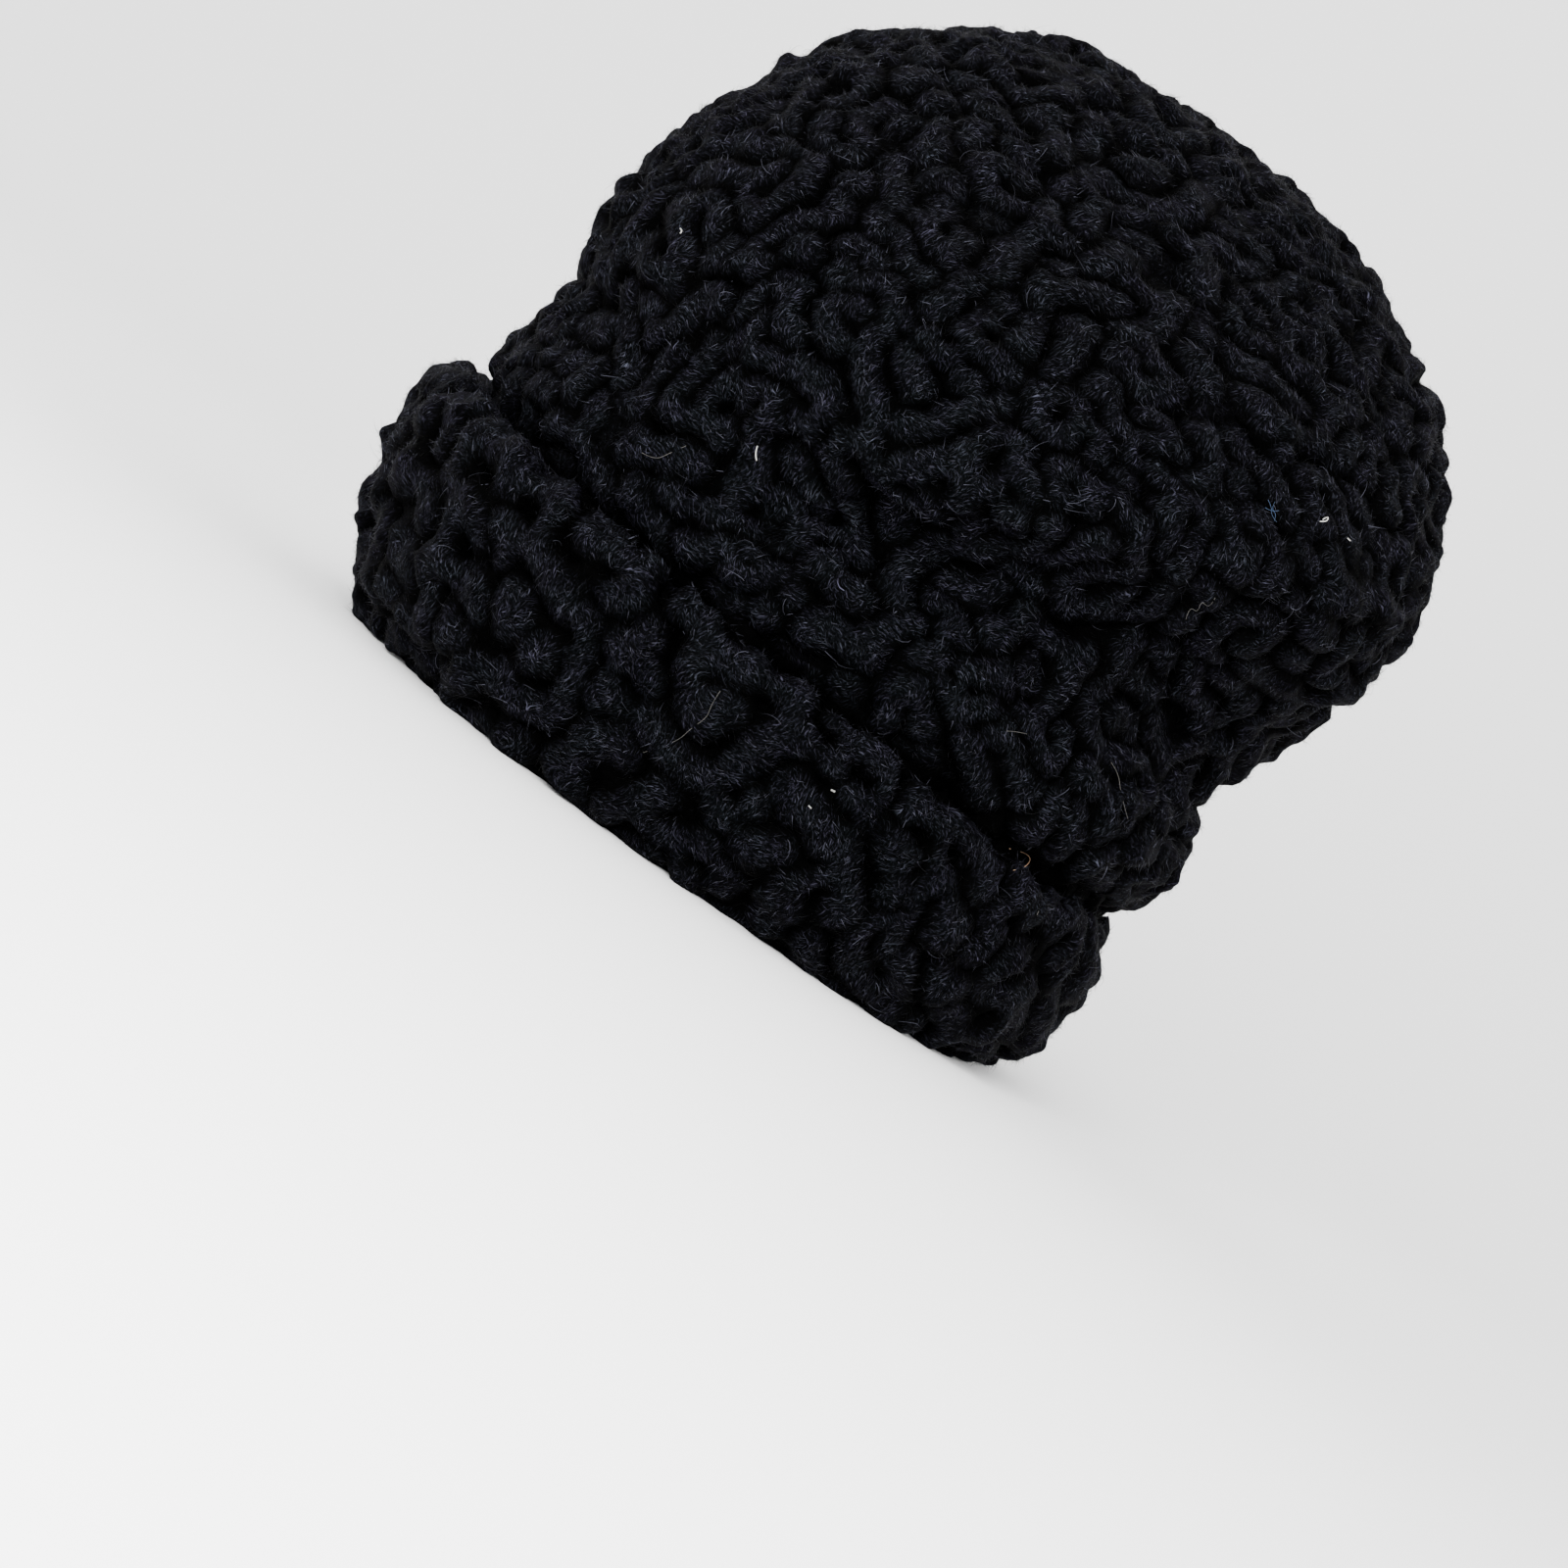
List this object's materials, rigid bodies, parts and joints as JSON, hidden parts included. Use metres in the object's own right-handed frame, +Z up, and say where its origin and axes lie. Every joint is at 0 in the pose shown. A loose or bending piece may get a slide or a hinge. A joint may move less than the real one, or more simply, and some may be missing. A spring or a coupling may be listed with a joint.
{
  "type": "cossack hat",
  "caption": "Tall soft cossack hat of curly black lamb-fur cloth, its top tipped to one side, with a deep turned-up cuff.",
  "frame": {"origin": "bottom centre of the hat's outer box, on the surface that the fold of the cuff rests on", "axes": "+Z up through the crown, -Y towards the wearer's face, +X towards the wearer's left ear, the side that the top tips to"},
  "size_m": [0.224, 0.27, 0.2645],
  "materials": {
    "crown_fur": "curly black faux lamb-fur pile with a soft sheen",
    "cuff_fur": "curly black faux lamb-fur pile with a soft sheen"
  },
  "bodies": {
    "root": {"crown_side": "crown_fur", "crown_top": "crown_fur", "cuff": "cuff_fur"}
  },
  "joints": []
}
